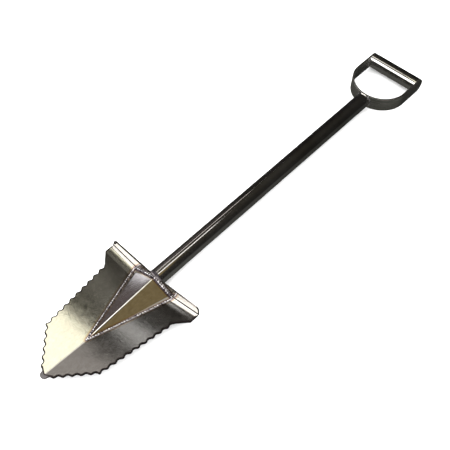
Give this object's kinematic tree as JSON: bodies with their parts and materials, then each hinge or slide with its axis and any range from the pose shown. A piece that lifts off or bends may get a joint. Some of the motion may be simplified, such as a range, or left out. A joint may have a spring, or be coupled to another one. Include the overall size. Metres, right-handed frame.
{
  "type": "detecting shovel",
  "caption": "Long-handled digging shovel with a folded pointed blade, serrated edges, a step flange, a gusset and a D-shaped handle.",
  "frame": {"origin": "middle of the tool's length and width, on the surface that it lies on with its back down", "axes": "+Y along the shaft from the tip to the handle, +X across the blade to its right seen from the front with the tip down, +Z out of the blade's front"},
  "size_m": [0.19, 0.901, 0.0341],
  "materials": {
    "blade_steel": "satin stainless steel, brushed along the blade",
    "tube_steel": "bright polished stainless steel",
    "weld_metal": "rippled weld beads with a light heat tint"
  },
  "bodies": {
    "root": {"blade": "blade_steel", "gusset": "blade_steel", "shaft": "tube_steel", "handle_strap": "tube_steel", "grip": "tube_steel", "gusset_weld_left": "weld_metal", "gusset_weld_right": "weld_metal", "gusset_weld_tip": "weld_metal", "flange_weld_left": "weld_metal", "flange_weld_right": "weld_metal", "shaft_weld": "weld_metal", "handle_weld": "weld_metal", "grip_weld_left": "weld_metal", "grip_weld_right": "weld_metal"}
  },
  "joints": []
}
